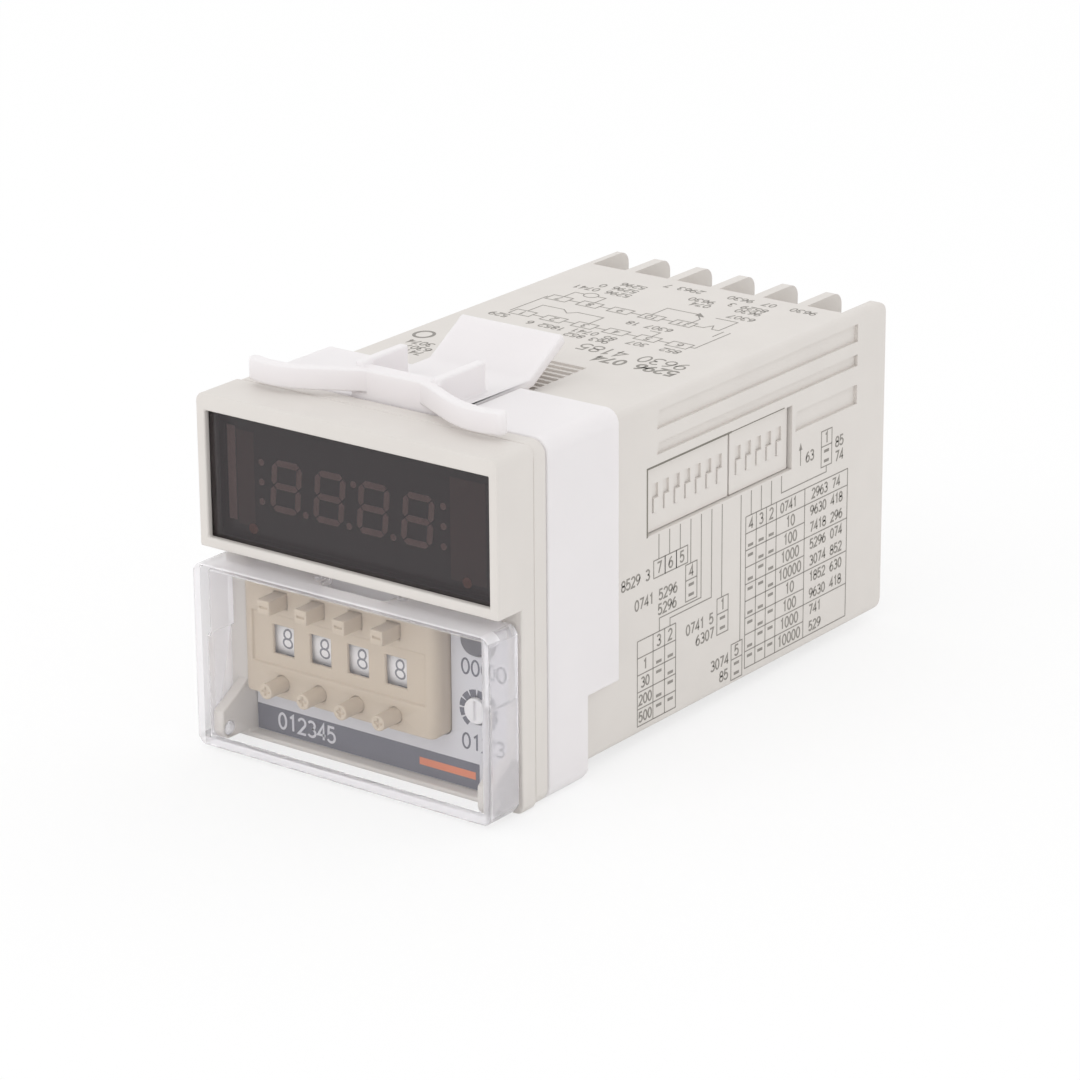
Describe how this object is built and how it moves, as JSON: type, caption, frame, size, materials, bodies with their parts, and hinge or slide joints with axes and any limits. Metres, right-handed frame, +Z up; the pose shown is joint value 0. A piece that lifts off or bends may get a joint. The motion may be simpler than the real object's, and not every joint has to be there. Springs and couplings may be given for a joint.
{
  "type": "panel counter",
  "caption": "A square panel-mounting preset counter with a dark digital display, push-button digit switches behind a clear drop-down cover, a slide-on bracket and screw terminals",
  "frame": {"origin": "Centre of the flange's rear face, on the panel's front plane", "axes": "+Y to the rear through the panel, +Z up, +X to the right seen from the front"},
  "size_m": [0.048, 0.0917, 0.0526],
  "materials": {
    "case_plastic": "fine moulded texture",
    "bracket_plastic": "smooth, slightly translucent",
    "clear_cover": "clear moulded plastic",
    "smoked_window": "polished, smoked",
    "display_dark": "matt",
    "segment_dim": "unlit",
    "lamp_red": "unlit",
    "fascia_grey": "matt",
    "switch_beige": "matt",
    "wheel_white": "matt",
    "slider_white": "smooth",
    "key_grey": "matt",
    "part_black": "matt",
    "part_blue": "smooth",
    "board_green": "lacquered board",
    "core_steel": "lacquered laminations",
    "coil_tape": "taped winding",
    "terminal_brass": "plated",
    "plated_steel": "plated"
  },
  "bodies": {
    "counter": {"case_body": "case_plastic", "front_bezel": "case_plastic", "display_window": "smoked_window", "display_module": "display_dark", "display_segments": "segment_dim", "indicator_lamps": "lamp_red", "display_board": "board_green", "fascia_plate": "fascia_grey", "switch_housing": "switch_beige", "wheel_axle": "plated_steel", "reset_switch": "part_black", "dial_trimmer": "part_blue", "switch_board": "board_green", "main_board": "board_green", "power_board": "board_green", "terminal_board": "board_green", "pin_headers": "part_black", "transformer_core": "core_steel", "transformer_coil": "coil_tape", "relay": "part_blue", "capacitors": "part_black", "board_chips": "part_black", "setting_switch_a": "slider_white", "setting_switch_b": "slider_white", "terminal_plates": "terminal_brass", "terminal_screws": "plated_steel"},
    "cover": {"front_cover": "clear_cover"},
    "bracket": {"panel_bracket": "bracket_plastic"},
    "reset": {"reset_button": "key_grey", "reset_plunger": "part_black"},
    "dial": {"time_dial": "wheel_white"},
    "wheel_1": {"digit_wheel_1": "wheel_white"},
    "minus_1": {"minus_button_1": "switch_beige"},
    "plus_1": {"plus_button_1": "switch_beige"},
    "wheel_2": {"digit_wheel_2": "wheel_white"},
    "minus_2": {"minus_button_2": "switch_beige"},
    "plus_2": {"plus_button_2": "switch_beige"},
    "wheel_3": {"digit_wheel_3": "wheel_white"},
    "minus_3": {"minus_button_3": "switch_beige"},
    "plus_3": {"plus_button_3": "switch_beige"},
    "wheel_4": {"digit_wheel_4": "wheel_white"},
    "minus_4": {"minus_button_4": "switch_beige"},
    "plus_4": {"plus_button_4": "switch_beige"},
    "slider_01": {"setting_slider_01": "slider_white"},
    "slider_02": {"setting_slider_02": "slider_white"},
    "slider_03": {"setting_slider_03": "slider_white"},
    "slider_04": {"setting_slider_04": "slider_white"},
    "slider_05": {"setting_slider_05": "slider_white"},
    "slider_06": {"setting_slider_06": "slider_white"},
    "slider_07": {"setting_slider_07": "slider_white"},
    "slider_08": {"setting_slider_08": "slider_white"},
    "slider_09": {"setting_slider_09": "slider_white"},
    "slider_10": {"setting_slider_10": "slider_white"},
    "slider_11": {"setting_slider_11": "slider_white"},
    "slider_12": {"setting_slider_12": "slider_white"}
  },
  "joints": [
    {"name": "cover_hinge", "type": "hinge", "parent": "counter", "child": "cover", "pos_m": [0, -0.009, -0.0215], "axis": [1, 0, 0], "range_deg": [0, 95]},
    {"name": "bracket_slide", "type": "slide", "parent": "counter", "child": "bracket", "axis": [0, 1, 0], "range_m": [0, 0.064]},
    {"name": "reset_press", "type": "slide", "parent": "counter", "child": "reset", "axis": [0, 1, 0], "range_m": [0, 0.0004], "stiffness_N_per_m": 800, "springref_m": -0.0005},
    {"name": "dial_turn", "type": "hinge", "parent": "counter", "child": "dial", "pos_m": [0.0157, 0, -0.0122], "axis": [0, 1, 0], "range_deg": [-130, 130]},
    {"name": "wheel_1_turn", "type": "hinge", "parent": "counter", "child": "wheel_1", "pos_m": [0, 0.0006, -0.0087], "axis": [1, 0, 0], "continuous": true},
    {"name": "minus_1_press", "type": "slide", "parent": "counter", "child": "minus_1", "axis": [0, 1, 0], "range_m": [0, 0.0008], "stiffness_N_per_m": 400, "springref_m": -0.0005},
    {"name": "plus_1_press", "type": "slide", "parent": "counter", "child": "plus_1", "axis": [0, 1, 0], "range_m": [0, 0.0008], "stiffness_N_per_m": 400, "springref_m": -0.0005},
    {"name": "wheel_2_turn", "type": "hinge", "parent": "counter", "child": "wheel_2", "pos_m": [0, 0.0006, -0.0087], "axis": [1, 0, 0], "continuous": true},
    {"name": "minus_2_press", "type": "slide", "parent": "counter", "child": "minus_2", "axis": [0, 1, 0], "range_m": [0, 0.0008], "stiffness_N_per_m": 400, "springref_m": -0.0005},
    {"name": "plus_2_press", "type": "slide", "parent": "counter", "child": "plus_2", "axis": [0, 1, 0], "range_m": [0, 0.0008], "stiffness_N_per_m": 400, "springref_m": -0.0005},
    {"name": "wheel_3_turn", "type": "hinge", "parent": "counter", "child": "wheel_3", "pos_m": [0, 0.0006, -0.0087], "axis": [1, 0, 0], "continuous": true},
    {"name": "minus_3_press", "type": "slide", "parent": "counter", "child": "minus_3", "axis": [0, 1, 0], "range_m": [0, 0.0008], "stiffness_N_per_m": 400, "springref_m": -0.0005},
    {"name": "plus_3_press", "type": "slide", "parent": "counter", "child": "plus_3", "axis": [0, 1, 0], "range_m": [0, 0.0008], "stiffness_N_per_m": 400, "springref_m": -0.0005},
    {"name": "wheel_4_turn", "type": "hinge", "parent": "counter", "child": "wheel_4", "pos_m": [0, 0.0006, -0.0087], "axis": [1, 0, 0], "continuous": true},
    {"name": "minus_4_press", "type": "slide", "parent": "counter", "child": "minus_4", "axis": [0, 1, 0], "range_m": [0, 0.0008], "stiffness_N_per_m": 400, "springref_m": -0.0005},
    {"name": "plus_4_press", "type": "slide", "parent": "counter", "child": "plus_4", "axis": [0, 1, 0], "range_m": [0, 0.0008], "stiffness_N_per_m": 400, "springref_m": -0.0005},
    {"name": "slider_01_slide", "type": "slide", "parent": "counter", "child": "slider_01", "axis": [0, 0, 1], "range_m": [0, 0.0018]},
    {"name": "slider_02_slide", "type": "slide", "parent": "counter", "child": "slider_02", "axis": [0, 0, 1], "range_m": [0, 0.0018]},
    {"name": "slider_03_slide", "type": "slide", "parent": "counter", "child": "slider_03", "axis": [0, 0, 1], "range_m": [0, 0.0018]},
    {"name": "slider_04_slide", "type": "slide", "parent": "counter", "child": "slider_04", "axis": [0, 0, 1], "range_m": [0, 0.0018]},
    {"name": "slider_05_slide", "type": "slide", "parent": "counter", "child": "slider_05", "axis": [0, 0, 1], "range_m": [0, 0.0018]},
    {"name": "slider_06_slide", "type": "slide", "parent": "counter", "child": "slider_06", "axis": [0, 0, 1], "range_m": [0, 0.0018]},
    {"name": "slider_07_slide", "type": "slide", "parent": "counter", "child": "slider_07", "axis": [0, 0, 1], "range_m": [0, 0.0018]},
    {"name": "slider_08_slide", "type": "slide", "parent": "counter", "child": "slider_08", "axis": [0, 0, 1], "range_m": [0, 0.0018]},
    {"name": "slider_09_slide", "type": "slide", "parent": "counter", "child": "slider_09", "axis": [0, 0, 1], "range_m": [0, 0.0018]},
    {"name": "slider_10_slide", "type": "slide", "parent": "counter", "child": "slider_10", "axis": [0, 0, 1], "range_m": [0, 0.0018]},
    {"name": "slider_11_slide", "type": "slide", "parent": "counter", "child": "slider_11", "axis": [0, 0, 1], "range_m": [0, 0.0018]},
    {"name": "slider_12_slide", "type": "slide", "parent": "counter", "child": "slider_12", "axis": [0, 0, 1], "range_m": [0, 0.0018]}
  ]
}
